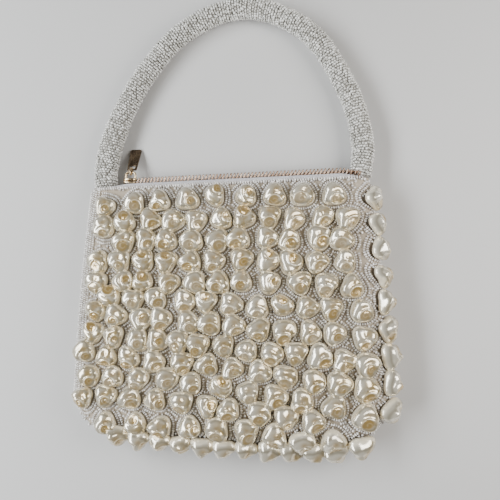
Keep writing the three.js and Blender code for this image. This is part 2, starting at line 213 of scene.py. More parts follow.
def seam_outline(bottom=48, corner=20, side=40, over=12, narrowest=0.4, height=30):
    """Points round the seam, closed by an arch over the mouth that is cut off later."""
    flat = BOTTOM_HALF - CORNER
    turn = np.linspace(0, QUARTER, corner, endpoint=False)
    x = MIDDLE + flat + CORNER * np.sin(turn)
    y = np.linspace(BOTTOM_Y + CORNER, MOUTH_Y, side + 1)
    rise = QUARTER * np.arange(1, over + 1) / (over + 1)
    arch = MIDDLE + TOP_HALF * lerp(narrowest, 1, np.cos(rise))
    right = np.concatenate([
        columns(x, bottom_seam(x)),
        columns(MIDDLE + side_half(y), y),
        columns(arch, MOUTH_Y + height * np.sin(rise)),
    ])
    lean = LEFT_LEAN * up_cloth(right[:, 1])
    left = columns(2 * MIDDLE - right[:, 0] + lean, right[:, 1])[::-1]
    x = MIDDLE + np.linspace(-flat, flat, bottom + 1)[1:-1]
    return np.concatenate([columns(x, bottom_seam(x)), right, left])


# The seam, and how far this form lies from the part's own frame
SEAM = seam_outline()
back_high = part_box("back_panel")[1]
SHIFT = np.array([
    TO_MM * back_high.x - MIDDLE - side_half(BOTTOM_Y + CORNER),
    TO_MM * back_high.y - MOUTH_Y,
    0.0,
])


def inside_seam(points, batch=4000):
    """How far inside the seam each point lies."""
    along = np.roll(SEAM, -1, 0) - SEAM
    found = np.empty(len(points))
    for first in range(0, len(points), batch):
        offset = points[first:first + batch, None] - SEAM
        part = np.clip((offset * along).sum(2) / (along * along).sum(1), 0, 1)
        gaps = np.linalg.norm(offset - part[..., None] * along, axis=2)
        found[first:first + batch] = gaps.min(1)
    return found


def dome(form, points):
    """Height of a panel over its seam."""
    part = np.clip(inside_seam(points) / form["side_in"], 0, 1)
    across = np.maximum(0, 1 - ((points[:, 0] - MIDDLE) / CROWN_X) ** 2)
    along = np.maximum(0, 1 - ((points[:, 1] - CROWN_MIDDLE) / CROWN_Y) ** 2)
    return (form["rise"] + form["crown"] * across * along) * np.sqrt(1 - (1 - part) ** 2)


def front_points(points):
    points = np.atleast_2d(points)
    return columns(points, FRONT_Z + dome(FRONT, points))


def front_normals(points, step=0.5):
    points = np.atleast_2d(points)
    across = front_points(points + [step, 0]) - front_points(points - [step, 0])
    along = front_points(points + [0, step]) - front_points(points - [0, step])
    return unit(np.cross(across, along))


# How the turned-up side runs: distance round it from the seam, and inset from the seam
SIDE_STEPS = 200
SIDE_INSET = np.linspace(0, FRONT["side_in"], SIDE_STEPS)
SIDE_HEIGHT = FRONT["rise"] * np.sqrt(1 - (1 - SIDE_INSET / FRONT["side_in"]) ** 2)
SIDE_ROUND = run_length(columns(SIDE_INSET, SIDE_HEIGHT))
FLANK_ROUND = np.interp(FLANK_INSET, SIDE_INSET, SIDE_ROUND)


def inset_at(distance):
    return np.interp(distance, SIDE_ROUND, SIDE_INSET) + np.maximum(0, distance - SIDE_ROUND[-1])


# Building helpers


def link(thing):
    bpy.context.scene.collection.objects.link(thing)


def piece(name, points, faces, material, body="root", attributes=None):
    """A smooth mesh that rides on a body, with attributes at its points."""
    mesh = bpy.data.meshes.new(name)
    mesh.from_pydata(placed(points).tolist(), [], [tuple(int(v) for v in face) for face in faces])
    mesh.validate()
    for key, values in (attributes or {}).items():
        layer = mesh.attributes.new(key, "FLOAT", "POINT")
        layer.data.foreach_set("value", np.asarray(values, np.float32))
    mesh.polygons.foreach_set("use_smooth", [True] * len(mesh.polygons))
    mesh.materials.append(material)
    thing = bpy.data.objects.new(name, mesh)
    link(thing)
    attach(thing, body)
    return thing


def joined(shapes):
    """Points and faces of several shapes as one."""
    points = []
    faces = []
    total = 0
    for shape, shape_faces in shapes:
        points.append(shape)
        faces += [[v + total for v in face] for face in shape_faces]
        total += len(shape)
    return np.concatenate(points), faces


def thicken(thing, thickness):
    thick = thing.modifiers.new("thickness", "SOLIDIFY")
    thick.thickness = MM * thickness
    thick.offset = -1


def grid_faces(rings, count, closed=True, first=0):
    """Quads between rings of count points, numbered from the first."""
    i = np.arange(count if closed else count - 1)
    j = (i + 1) % count
    low = first + np.arange(rings - 1)[:, None] * count
    return np.stack([low + i, low + j, low + count + j, low + count + i], -1).reshape(-1, 4).tolist()


def end_faces(rings, count):
    """The faces that close a tube at its ends."""
    last = (rings - 1) * count
    return [list(range(count))[::-1], list(range(last, last + count))]


def circle(count):
    return FULL_TURN * np.arange(count) / count


def bead_form(segments, rings, squat):
    """A round bead with its thread along Z."""
    polar = math.pi * np.arange(1, rings) / rings
    turn = circle(segments)
    body = np.stack([
        np.sin(polar)[:, None] * np.cos(turn),
        np.sin(polar)[:, None] * np.sin(turn),
        squat * np.cos(polar)[:, None] * np.ones(segments),
    ], -1).reshape(-1, 3)
    points = np.concatenate([body, [[0, 0, squat], [0, 0, -squat]]])
    i = np.arange(segments)
    j = (i + 1) % segments
    top = np.full(segments, len(body))
    foot = top + 1
    last = (rings - 2) * segments
    triangles = [np.stack([top, i, j], 1), np.stack([foot, last + j, last + i], 1)]
    for low in range(0, last, segments):
        triangles.append(np.stack([low + i, low + segments + i, low + segments + j], 1))
        triangles.append(np.stack([low + i, low + segments + j, low + j], 1))
    return points, np.concatenate(triangles)


def repeated(triangles, count, step):
    """The triangles of a number of copies of one shape."""
    return (triangles[None] + (np.arange(count) * step)[:, None, None]).reshape(-1, 3)


def beads(name, centres, threads, radii, material, form):
    """One piece of many beads, each with its thread along the given direction."""
    shape, triangles = form
    threads = unit(threads)
    steep = 0.9
    helper = np.where(np.abs(threads[:, 2:]) < steep, [UPWARD], [[1.0, 0.0, 0.0]])
    side = unit(np.cross(helper, threads))
    up = np.cross(threads, side)
    axes = np.stack([side, up, threads], 1)
    turned_shape = np.einsum("vk,nkc->nvc", shape, axes)
    points = centres[:, None] + radii[:, None, None] * turned_shape
    faces = repeated(triangles, len(points), len(shape))
    tone = np.repeat(rng.random(len(points)), len(shape))
    thing = piece(name, points.reshape(-1, 3), faces, material, attributes={"tone": tone})


def bead_radii(radius, varies, count, most=1.5):
    return radius * (1 + varies * rng.standard_normal(count).clip(-most, most))


def tube(path, radius, sides, closed=False):
    """Points and faces of a round wire along a flat path of points."""
    if closed:
        tangent = unit(np.roll(path, -1, 0) - np.roll(path, 1, 0))
    else:
        tangent = unit(np.gradient(path, axis=0))
    third = path[len(path) // 3] - path[0]
    two_thirds = path[2 * len(path) // 3] - path[0]
    middle = unit(np.cross(third, two_thirds))
    side = unit(np.cross(tangent, middle))
    turn = circle(sides)
    ring = np.cos(turn)[None, :, None] * side[:, None] + np.sin(turn)[None, :, None] * middle
    points = (path[:, None] + radius * ring).reshape(-1, 3)
    faces = [[v % len(points) for v in face] for face in grid_faces(len(path) + closed, sides)]
    if not closed:
        faces += end_faces(len(path), sides)
    return points, faces


def shape_of(work):
    """Points and faces of a bmesh, which is freed."""
    work.verts.index_update()
    points = np.array([v.co[:] for v in work.verts])
    faces = [[v.index for v in face.verts] for face in work.faces]
    work.free()
    return points, faces


def raise_faces(work, height):
    """Make the flat faces of a bmesh into a plate."""
    top = bmesh.ops.extrude_face_region(work, geom=work.faces[:])
    moved = [v for v in top["geom"] if isinstance(v, bmesh.types.BMVert)]
    bmesh.ops.translate(work, vec=(0, 0, height), verts=moved)
    bmesh.ops.recalc_face_normals(work, faces=work.faces[:])


def round_edges(work, edges, bevel, segments):
    bmesh.ops.bevel(work, geom=edges, offset=bevel, segments=segments, profile=0.5, affect="EDGES")


# Materials


def feed(tree, node, **inputs):
    """Give a node its inputs, each a number, a colour or the output of another node."""
    for key, value in inputs.items():
        socket = node.inputs[key.replace("_", " ")]
        if isinstance(value, bpy.types.NodeSocket):
            tree.links.new(value, socket)
        elif isinstance(value, tuple):
            socket.default_value = (*value, 1)
        else:
            socket.default_value = value


def add(tree, kind, output, settings=None, **inputs):
    """The output of a new node."""
    node = tree.nodes.new(kind)
    for key, value in (settings or {}).items():
        setattr(node, key, value)
    feed(tree, node, **inputs)
    return node.outputs[output]


def finish(name, colour, roughness, metallic=0.0, **more):
    """A material, its nodes and its shader, with the values that are the same all over."""
    material = bpy.data.materials.new(name)
    material.use_nodes = True
    tree = material.node_tree
    shader = tree.nodes["Principled BSDF"]
    feed(tree, shader, Base_Color=colour, Roughness=roughness, Metallic=metallic, **more)
    return material, tree, shader


def mixed(tree, share, first, second):
    return add(tree, "ShaderNodeMix", "Result", {"data_type": "RGBA"}, Factor=share, A=first, B=second)


def ranged(tree, value, low, high, to_low=0.0, to_high=1.0):
    return add(
        tree, "ShaderNodeMapRange", "Result", Value=value,
        From_Min=low, From_Max=high, To_Min=to_low, To_Max=to_high,
    )


def noise(tree, scale, detail=2.0):
    place = add(tree, "ShaderNodeTexCoord", "Object")
    return add(tree, "ShaderNodeTexNoise", "Fac", Vector=place, Scale=scale, Detail=detail)


def named(tree, name):
    return add(tree, "ShaderNodeAttribute", "Fac", {"attribute_name": name})


def bumped(tree, shader, height, strength, distance):
    bump = add(tree, "ShaderNodeBump", "Normal", Height=height, Strength=strength, Distance=distance)
    feed(tree, shader, Normal=bump)


def weave(tree, period, distortion=0.6, band_at_scale_one=math.pi / 10):
    """Height of a plain weave, its threads along X and Y."""
    place = add(tree, "ShaderNodeTexCoord", "Object")
    product = tree.nodes.new("ShaderNodeMath")
    product.operation = "MULTIPLY"
    for direction, socket in zip("XY", product.inputs):
        wave = add(
            tree, "ShaderNodeTexWave", "Fac", {"bands_direction": direction},
            Vector=place, Scale=band_at_scale_one / period, Distortion=distortion,
        )
        tree.links.new(wave, socket)
    return product.outputs["Value"]


def pearl_material():
    material, tree, shader = finish(
        "pearl", (0.80, 0.68, 0.44), 0.25, Coat_Weight=0.85, Coat_Roughness=0.09, Coat_IOR=1.9,
    )
    clouds = ranged(tree, noise(tree, scale=300), low=0.4, high=0.75)
    metallic = ranged(tree, named(tree, "rim"), low=0, high=1, to_low=0.6, to_high=0.1)
    roughness = ranged(tree, noise(tree, scale=500), low=0.3, high=0.7, to_low=0.17, to_high=0.25)
    # Random tone for each nugget plus painted shade: cream where the tone is low, golden brown where it is
    # high.
    colour = mixed(tree, named(tree, "tone"), (0.91, 0.85, 0.71), (0.58, 0.44, 0.21))
    colour = mixed(tree, clouds, colour, (0.91, 0.86, 0.73))
    # Painted reflection: a dark band just inside each nugget's outline.
    colour = mixed(tree, named(tree, "reflection_band"), colour, (0.31, 0.27, 0.18))
    # Painted shade and reflection: golden brown in each dish and valley.
    colour = mixed(tree, named(tree, "gold_shade"), colour, (0.52, 0.34, 0.10))
    # Painted highlight: pale cream on the rims, the spirals and the outlines.
    colour = mixed(tree, named(tree, "rim"), colour, (0.95, 0.87, 0.68))
    feed(tree, shader, Base_Color=colour, Metallic=metallic, Roughness=roughness)
    bumped(tree, shader, noise(tree, scale=420), strength=0.15, distance=0.0006)
    return material


def bead_material(name, light, dark):
    material, tree, shader = finish(name, light, 0.3, Coat_Weight=1.0, Coat_Roughness=0.07, Coat_IOR=2.0)
    colour = mixed(tree, named(tree, "tone"), light, dark)
    roughness = ranged(tree, noise(tree, scale=700), low=0.3, high=0.7, to_low=0.22, to_high=0.4)
    feed(tree, shader, Base_Color=colour, Roughness=roughness)
    return material


def cloth_material(name, light, dark, period, patch):
    """Woven cloth, by the period of its threads in metres and the scale of its worn patches."""
    material, tree, shader = finish(name, light, 0.9, Sheen_Weight=0.2)
    threads = weave(tree, period)
    patches = ranged(tree, noise(tree, scale=patch, detail=4), low=0.3, high=0.7)
    high_threads = ranged(tree, threads, low=0, high=0.7, to_low=0.75, to_high=1)
    worn = mixed(tree, patches, dark, light)
    feed(tree, shader, Base_Color=mixed(tree, high_threads, dark, worn))
    bumped(tree, shader, threads, strength=0.5, distance=0.0003)
    return material


def metal_material(name, light, dark, roughness, smoothest=0.7, roughest=1.4):
    material, tree, shader = finish(name, light, roughness, 1.0)
    stains = ranged(tree, noise(tree, scale=260, detail=5), low=0.35, high=0.7)
    scuffs = ranged(
        tree, noise(tree, scale=1500, detail=4), low=0.3, high=0.7,
        to_low=roughness * smoothest, to_high=roughness * roughest,
    )
    feed(tree, shader, Base_Color=mixed(tree, stains, light, dark), Roughness=scuffs)
    bumped(tree, shader, noise(tree, scale=2500, detail=3), strength=0.06, distance=0.0001)
    return material


PEARL = pearl_material()
SEED = bead_material("seed_beads", (1.0, 0.98, 0.955), (0.54, 0.50, 0.465))
HANDLE_SEED = bead_material("handle_seed_beads", (0.97, 0.96, 0.92), (0.46, 0.445, 0.40))
# The front cloth's beige is darkened a little as painted shade for the gaps between the nuggets.
FRONT_CLOTH = cloth_material("front_cloth", (0.58, 0.50, 0.40), (0.42, 0.35, 0.27), 0.0007, 40)
BACK_CLOTH = cloth_material("back_cloth", (0.62, 0.54, 0.43), (0.50, 0.42, 0.32), 0.0009, 25)
CORE_CLOTH = cloth_material("handle_cloth", (0.38, 0.36, 0.33), (0.27, 0.255, 0.23), 0.0007, 60)
TAPE_CLOTH = cloth_material("zip_tape", (0.93, 0.91, 0.94), (0.80, 0.77, 0.82), 0.0006, 90)
THREAD = cloth_material("thread", (0.80, 0.78, 0.80), (0.62, 0.60, 0.62), 0.0003, 120)
TEETH_METAL = metal_material("zip_teeth", (0.62, 0.47, 0.37), (0.34, 0.22, 0.15), 0.26)
PULL_METAL = metal_material("zip_metal", (0.78, 0.63, 0.42), (0.48, 0.34, 0.19), 0.22)
# The tab's own brown gold, darkened further as a painted reflection of a dim room.
SHADED_TAB_METAL = metal_material("tab_metal_shaded", (0.25, 0.19, 0.13), (0.12, 0.085, 0.06), 0.26)


# Cloth panels, in millimetres

CLOTH_THICKNESS = 1.6


def panel(name, form, base_z, up, material, edge=12, inner=26, innermost=0.98, centre_y=82.0):
    """The smooth skin of one panel, cut off at the mouth and given the cloth's thickness."""
    along = unit(np.roll(SEAM, -1, 0) - np.roll(SEAM, 1, 0))
    inward = columns(-along[:, 1], along[:, 0])
    side = form["side_in"]
    turn = np.linspace(0, QUARTER, edge)
    shares = np.linspace(0, innermost, inner)[1:]
    centre = np.array([MIDDLE, centre_y])
    rings = [SEAM + inward * inset for inset in side * (1 - np.cos(turn))]
    rings += [lerp(SEAM + inward * side, centre, share) for share in shares]
    flat = np.concatenate(rings)
    points = columns(flat, base_z + up * dome(form, flat))
    faces = grid_faces(len(rings), len(SEAM)) + end_faces(len(rings), len(SEAM))[1:]
    if up < 0:
        faces = [face[::-1] for face in faces]
    cloth = piece(name, points, faces, material)
    work = bmesh.new()
    work.from_mesh(cloth.data)
    whole = work.verts[:] + work.edges[:] + work.faces[:]
    mouth = placed([[0, MOUTH_Y, 0]])[0]
    bmesh.ops.bisect_plane(work, geom=whole, plane_co=mouth, plane_no=(0, 1, 0), clear_outer=True)
    work.to_mesh(cloth.data)
    work.free()
    thicken(cloth, CLOTH_THICKNESS)
    return cloth


front_cloth = panel("front_cloth", FRONT, FRONT_Z, 1, FRONT_CLOTH)
back_cloth = panel("back_cloth", BACK, BACK["rise"], -1, BACK_CLOTH)
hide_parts("front_panel")
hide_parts("back_panel")


# Nuggets, in millimetres and radians, their skin measured from a star point over the foot

STAR = np.array([0.3, -0.4, 2.8])

# Swells and hollows of a nugget's skin: tilt, turn, height and spread
SWELLS = [
    (0.75, 2.5, 1.1, 0.52),
    (0.55, 0.75, -1.1, 0.36),
    (1.0, 0.15, 0.95, 0.4),
    (0.95, 4.0, 0.7, 0.4),
    (1.05, 1.6, 0.55, 0.38),
]

# Shoulder and groove beside a dish: place as a share of its half angle, width and height
BESIDE_DISH = [(1.85, 0.17, 0.36), (1.36, 0.13, -0.34)]


def nugget_places(rounds=20, spacing=14.2, step=0.25):
    """Places of the nuggets on the front, settled apart, on the right side and along the bottom."""
    rows = []
    for left, right, bow, first, last, count in NUGGET_ROWS:
        for share in np.arange(count) / (count - 1):
            index = len(rows)
            x = lerp(first, last, share) + varied(index, "x")
            y = lerp(left, right, share) + 4 * bow * share * (1 - share) + varied(index, "y")
            rows.append(np.array([x, y]))
    for _ in range(rounds):
        for i, here in enumerate(rows):
            for there in rows[i + 1:]:
                gap = there - here
                apart = math.hypot(*gap)
                if apart < spacing:
                    push = step * (spacing - apart) / apart * gap
                    here -= push
                    there += push
    y = np.linspace(*RIGHT_FLANK)
    x = np.linspace(*BOTTOM_FLANK)
    right = columns(MIDDLE + seam_half(y) - FLANK_INSET, y)
    tuck = BOTTOM_TUCK * np.linspace(1, 0, len(x)) ** 3
    bottom = columns(x, bottom_seam(x) + FLANK_INSET + tuck)
    return np.array(rows), right, bottom


on_front, on_right, on_bottom = nugget_places()
FIRST_RIGHT = len(on_front)
FIRST_BOTTOM = len(on_front) + len(on_right)
PLACES = np.concatenate([on_front, on_right, on_bottom])
COUNT = len(PLACES)
FEET = front_points(PLACES)
OUT = front_normals(PLACES)
TURNS = np.array([varied(i, "turn") for i in range(COUNT)])
ALONG = unit(flattened(columns(np.cos(TURNS), np.sin(TURNS), np.zeros(COUNT)), OUT))
ACROSS = np.cross(OUT, ALONG)
AXES = np.stack([ALONG, ACROSS, OUT], 1)


def toward(tilt, turn):
    """Directions leaning from straight up by a tilt, toward a turn round the nugget."""
    tilt, turn = np.broadcast_arrays(tilt, turn)
    return np.stack([np.sin(tilt) * np.cos(turn), np.sin(tilt) * np.sin(turn), np.cos(tilt)], -1)


def angle_from(rays, middle):
    return np.arccos(np.clip(rays @ middle, -1, 1))


def dish_of(index, odd_above=0.7):
    """The direction of a nugget's round dish and its half angle. Most open toward the lower right."""
    turn = varied(index, "dish_turn") - TURNS[index]
    if varied(index, "odd") > odd_above:
        turn += varied(index, "odd_turn")
    return toward(varied(index, "dish_tilt"), turn), varied(index, "dish_size")


def off_dish(
    index, rays, arch_least=0.3, arch_middle=0.6, arch_swing=0.8,
    rim_width=0.07, spiral_start=0.62, spiral_wind=0.4, spiral_width=0.06,
):
    """Angle from the dish's middle, its half angle, arch and rim, and the spiral that winds into it."""
    middle, half_angle = dish_of(index)
    away = angle_from(rays, middle)
    side = unit(np.cross(UPWARD, middle))
    turn = np.arctan2(rays @ np.cross(middle, side), rays @ side)
    wound = (turn / FULL_TURN + varied(index, "wound")) % 1
    arch = lerp(arch_least, 1, np.clip(arch_middle + arch_swing * np.sin(turn), 0, 1))
    rim = arch * bell(away - half_angle, rim_width)
    spiral = bell(away - half_angle * (spiral_start - spiral_wind * wound), spiral_width)
    return away, half_angle, arch, rim, spiral


def folds(index, rays, rims=0.36, spirals=0.6, hollow=0.95, opened=1.5, arched=0.6):
    """Height of the dish, its rim and spiral, and what lies beside it."""
    away, half_angle, arch, rim, spiral = off_dish(index, rays)
    sunk = np.clip(1 - (away / half_angle) ** 2, 0, 1) * (opened - arched * arch)
    height = rims * np.maximum(rim, spirals * spiral)
    for at, width, rise in BESIDE_DISH:
        height = height + rise * (arch * bell(away - at * half_angle, width))
    return height - hollow * sunk


def reach(
    index, rays, width=7.5, crown=6.2, bottom_crown=7.3, under=4.5, power=2.2, side_power=1.8,
    low_right_from=-30, low_right_span=100, low_right_grows=0.11, beak=1.5, beak_spread=0.34, side_folds=0.5,
):
    """How far a nugget's skin lies from its star point along each ray."""
    turn = np.arctan2(rays[:, 1], rays[:, 0])
    level = np.hypot(rays[:, 0], rays[:, 1])
    on_side = index >= FIRST_RIGHT
    x, y = PLACES[index]
    low_right = min(max((x - y - low_right_from) / low_right_span, 0), 1)
    size = varied(index, "size") + low_right_grows * low_right
    pointed = varied(index, "side_pointed" if on_side else "pointed")
    corners = np.cos(3 * turn + varied(index, "corner"))
    wide = width * size * (1 + varied(index, "long") * np.cos(2 * turn) + pointed * corners)
    high = (bottom_crown if index >= FIRST_BOTTOM else crown) * size
    tall = np.where(rays[:, 2] > 0, high, under)
    if on_side:
        power = side_power
    skin = ((level / wide) ** power + (np.abs(rays[:, 2]) / tall) ** power) ** (-1 / power)
    if on_side:
        middle = toward(varied(index, "beak_tilt"), varied(index, "beak_turn"))
        skin = skin + beak * bell(angle_from(rays, middle), beak_spread)
    for number, (tilt, spin, height, spread) in enumerate(SWELLS):
        tilt = tilt + varied(index, "swell_tilt", number)
        spin = spin - TURNS[index] + varied(index, "swell_turn", number)
        height = height * varied(index, "swell_height", number)
        skin = skin + height * bell(angle_from(rays, toward(tilt, spin)), spread)
    return skin + (side_folds if on_side else 1.0) * folds(index, rays)


# Rings of a nugget's skin: degrees from its crown, close together on top and wider below
SEGMENTS = 48
TILTS = np.radians(np.concatenate([np.linspace(0, 75, 21)[1:], np.linspace(75, 106, 7)[1:]]))
SKIN_TURNS = circle(SEGMENTS)
SKIN_RINGS = toward(TILTS[:, None], SKIN_TURNS[None]).reshape(-1, 3)
SKIN_RAYS = np.concatenate([[UPWARD], SKIN_RINGS])


def nugget_looks(
    index, local, aside=0.16, aside_turn=2.4, aside_up=0.4, disc_edge=0.95, disc_soft=0.18,
    patch=(1.4, 2.4), patch_size=(2.6, 2.2), patch_shade=0.6, most_shade=0.95,
    edge_at=0.93, edge_soft=0.05, edge_height=3, edge_highlight=0.6, rim_highlight=0.8, spiral_highlight=0.25,
    band_at=0.8, band_width=0.09, band_dark=0.7, shade_lean=0.6, shade_span=11,
):
    """The shares of gold, pale rim, dark band and deeper tone over a nugget's skin: gold is painted shade
    and reflection, the pale rim a painted highlight, the dark band a painted reflection, and the tone random
    for each nugget plus painted shade toward the lower right.
    """
    half_angle, _, dish_rim, spiral = off_dish(index, SKIN_RAYS)[1:]
    spin = TURNS[index]
    turn = aside_turn - spin
    leaning = aside * np.array([math.cos(turn), math.sin(turn), aside_up])
    # Painted shade and reflection: golden brown in the dish, pushed onto its upper-left wall that faces away
    # from the window lamp, and in the valley beside the main lobe, for the dim room seen there.
    off_shade = angle_from(SKIN_RAYS, unit(dish_of(index)[0] + leaning))
    flat = local[:, :2] - STAR[:2]
    x = flat[:, 0] * math.cos(spin) - flat[:, 1] * math.sin(spin)
    y = flat[:, 0] * math.sin(spin) + flat[:, 1] * math.cos(spin)
    off_patch = (((columns(x, y) - patch) / patch_size) ** 2).sum(1)
    disc = np.clip((disc_edge - off_shade / half_angle) / disc_soft, 0, 1)
    gold_shade = varied(index, "gold_shade") * disc + patch_shade * np.exp(-off_patch)
    outline = reach(index, toward(np.full(SEGMENTS, QUARTER), SKIN_TURNS))
    widest = np.concatenate([outline[:1], np.tile(outline, len(TILTS))])
    share = np.hypot(flat[:, 0], flat[:, 1]) / widest
    # Painted highlight: pale cream along the dish's rim, along its spiral and in a thin line round the
    # outline, where light catches the pearl.
    edge = np.clip((share - edge_at) / edge_soft, 0, 1) * np.clip(local[:, 2] / edge_height, 0, 1)
    rim = np.maximum(rim_highlight * dish_rim**2, spiral_highlight * spiral**2)
    # Painted shade: the tone deepens toward the lower right, away from the window lamp, over a random tone
    # for each nugget.
    tone = varied(index, "tone") + (x - shade_lean * y) / shade_span
    return {
        "gold_shade": np.clip(gold_shade, 0, most_shade),
        "rim": np.clip(np.maximum(rim, edge_highlight * edge), 0, 1),
        # Painted reflection: a dark band just inside the outline, for the dim room reflected there.
        "reflection_band": band_dark * bell(share - band_at, band_width),
        "tone": np.clip(tone, 0, 1),
    }


def nuggets(name, indices):
    i = np.arange(SEGMENTS)
    fan = np.stack([np.zeros(SEGMENTS, int), 1 + i, 1 + (i + 1) % SEGMENTS], 1).tolist()
    faces = fan + grid_faces(len(TILTS), SEGMENTS, first=1)
    shapes = []
    looks = []
    for index in indices:
        local = STAR + reach(index, SKIN_RAYS)[:, None] * SKIN_RAYS
        shapes.append((FEET[index] + local @ AXES[index], faces))
        looks.append(nugget_looks(index, local))
    attributes = {key: np.concatenate([look[key] for look in looks]) for key in looks[0]}
    thing = piece(name, *joined(shapes), PEARL, attributes=attributes)
    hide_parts("front_panel")


half = sum(count for *_, count in NUGGET_ROWS[:UPPER_ROWS])
nuggets("nuggets_upper", range(half))
nuggets("nuggets_lower", range(half, COUNT))


# Seed beads on the front, in millimetres, with two loops round each nugget at these gaps

LOOP_GAPS = (1.3, 3.6)


def clear_of_nuggets(points, margin, farthest=14):
    """Which points lie outside every nugget. No nugget goes farther than that from its foot."""
    keep = np.ones(len(points), bool)
    for index in range(COUNT):
        near = np.flatnonzero(np.linalg.norm(points - FEET[index], axis=1) < farthest)
        if len(near):
            local = (points[near] - FEET[index]) @ AXES[index].T - STAR
            far = np.linalg.norm(local, axis=1)
            keep[near] &= far > reach(index, local / far[:, None]) + margin
    return keep


def spaced_out(points, strings, apart):
    """Which points to keep, so that none lies too near an earlier one of another string."""
    kept = []
    cells = {}
    for i, point in enumerate(points):
        cell = tuple(np.floor(point / apart).astype(int))
        near = [
            j
            for dx in (-1, 0, 1) for dy in (-1, 0, 1) for dz in (-1, 0, 1)
            for j in cells.get((cell[0] + dx, cell[1] + dy, cell[2] + dz), ())
            if strings[j] != strings[i]
        ]
        if all(np.linalg.norm(points[j] - point) >= apart for j in near):
            kept.append(i)
            cells.setdefault(cell, []).append(i)
    return np.array(kept, int)


def loop_round(index, gap, steps=96, dip=-0.15, stretch=1.6, pitch=1.5, fewest=8, near=0.3):
    """A string of beads round one nugget: places on the front, and the thread's directions."""
    turn = circle(steps)
    level = columns(np.cos(turn), np.sin(turn))
    low = columns(level, np.full(steps, dip))
    local = STAR[:2] + (reach(index, unit(low)) + gap)[:, None] * level
    offset = local[:, :1] * ALONG[index] + local[:, 1:] * ACROSS[index]
    x, y = (PLACES[index] + offset[:, :2]).T
    if FIRST_RIGHT <= index < FIRST_BOTTOM:
        x = MIDDLE + seam_half(y) - inset_at(FLANK_ROUND - stretch * offset[:, 0])
    elif index >= FIRST_BOTTOM:
        y = bottom_seam(x) + inset_at(FLANK_ROUND + stretch * offset[:, 1])
    flat = columns(x, y)
    ring = np.concatenate([flat, flat[:1]])
    length = run_length(ring)
    whole = length[-1]
    count = max(fewest, int(whole / pitch))
    at = np.linspace(0, whole, count + 1)[:-1] + varied(index, "string")
    before, middle, after = (read_off((at + step) % whole, length, ring) for step in (-near, 0, near))
    return middle, unit(after - before)


def on_cloth(flat, mouth=1.2, seam=0.5):
    """Which places lie within the front's seam and mouth."""
    x, y = flat.T
    level = (y < MOUTH_Y - mouth) & (y > bottom_seam(x) + seam)
    return level & (x < MIDDLE + seam_half(y) - seam) & (x > left_seam(y) + seam)


def left_strands(first=1.2, last=15, step=2.3, low_y=14.0, top=1, pitch=1.5, slip=0.7):
    """Strings of beads up the left side."""
    strands = []
    for inset in np.arange(first, last, step):
        y = np.arange(low_y, MOUTH_Y - top, pitch) + slip * rng.random()
        x = left_seam(y) + inset_at(np.full(len(y), inset))
        strands.append((columns(x, y), np.tile([0.0, 1.0], (len(y), 1))))
    return strands


def sown_beads(
    x=(-112.0, 108.0, 1.9), y=(-9.0, MOUTH_Y, 1.85), wander=0.5, share=0.4, corner_y=158, corner_out=84,
):
    """Single beads all over the front, closer together in the corners of the mouth."""
    x, y = np.meshgrid(np.arange(*x), np.arange(*y))
    flat = columns(x.ravel(), y.ravel()) + wander * rng.standard_normal((x.size, 2))
    corner = (flat[:, 1] > corner_y) & (np.abs(flat[:, 0] - MIDDLE) > corner_out)
    flat = flat[corner | (rng.random(len(flat)) < share)]
    spin = FULL_TURN * rng.random(len(flat))
    return list(zip(flat[:, None], columns(np.cos(spin), np.sin(spin))[:, None]))


def panel_beads(radius=1.05, varies=0.09, sunk=0.1, margin=0.15, apart=1.75):
    """Strands up the left, loops round the nuggets, and single beads where there is still room."""
    strings = left_strands()
    strings += [loop_round(index, gap) for gap in LOOP_GAPS for index in range(COUNT)]
    strings += sown_beads()
    flats, threads = zip(*strings)
    string = np.repeat(np.arange(len(flats)), [len(flat) for flat in flats])
    flat = np.concatenate(flats)
    thread = columns(np.concatenate(threads), np.zeros(len(flat)))
    fine = np.flatnonzero(on_cloth(flat))
    normal = front_normals(flat[fine])
    centre = front_points(flat[fine]) + (radius - sunk) * normal
    clear = np.flatnonzero(clear_of_nuggets(centre, margin))
    kept = clear[spaced_out(centre[clear], string[fine][clear], apart)]
    radii = bead_radii(radius, varies, len(kept))
    lying = flattened(thread[fine][kept], normal[kept])
    form = bead_form(segments=8, rings=3, squat=0.66)
    beads("panel_beads", centre[kept], lying, radii, SEED, form)


def mouth_beads(first=-96.6, last=94.0, step=1.75, inset=0.3, up=0.6, wander=0.08, radius=1.35):
    """A close row of flat beads along the front edge of the mouth."""
    x = np.arange(first, last, step)
    centre = front_points(columns(x, np.full(len(x), MOUTH_Y - inset))) + [0, 0, up]
    centre += wander * rng.standard_normal(centre.shape)
    threads = np.tile([1.0, 0, 0], (len(x), 1))
    form = bead_form(segments=12, rings=6, squat=0.52)
    beads("mouth_beads", centre, threads, np.full(len(x), radius), SEED, form)


panel_beads()
mouth_beads()


# Handle, in millimetres


